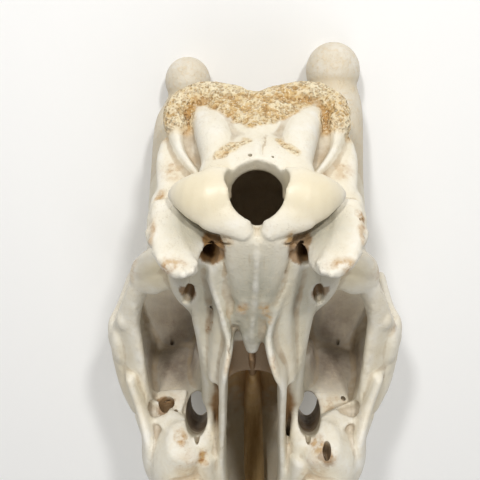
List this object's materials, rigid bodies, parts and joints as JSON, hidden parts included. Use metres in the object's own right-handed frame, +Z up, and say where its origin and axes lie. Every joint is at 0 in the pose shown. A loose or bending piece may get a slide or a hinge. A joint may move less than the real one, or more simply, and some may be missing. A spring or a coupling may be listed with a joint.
{
  "type": "giraffe skull",
  "caption": "Life-size museum model of a giraffe's skull without its lower jaw, lying upside down on its horns and brow.",
  "frame": {"origin": "middle of the foot of the box around the resting skull, on the surface it lies on", "axes": "+Z up, -Y towards the tip of the snout, +X towards the skull's own right side, because it lies upside down"},
  "size_m": [0.2462, 0.6552, 0.2487],
  "materials": {
    "bone": "dry cream bone, matt, with faint stains in its hollows",
    "occiput_bone": "cream bone, spongy and ochre along the nape crest, smooth ivory on the condyles",
    "horn_bone": "beige bone with a fine stippled grain",
    "jaw_bone_and_teeth": "cream bone with ivory enamel and brown stain on the teeth",
    "inner_bone": "thin brown bone of the nose, matt"
  },
  "bodies": {
    "root": {"braincase": "bone", "frontal": "bone", "maxilla_left": "jaw_bone_and_teeth", "maxilla_right": "jaw_bone_and_teeth", "nasal_left": "bone", "nasal_right": "bone", "occipital": "occiput_bone", "ossicone_left": "horn_bone", "ossicone_right": "horn_bone", "premaxilla_left": "bone", "premaxilla_right": "bone", "sphenoid": "bone", "temporal_left": "bone", "temporal_right": "bone", "vomer": "inner_bone", "zygomatic_left": "bone", "zygomatic_right": "bone"}
  },
  "joints": []
}
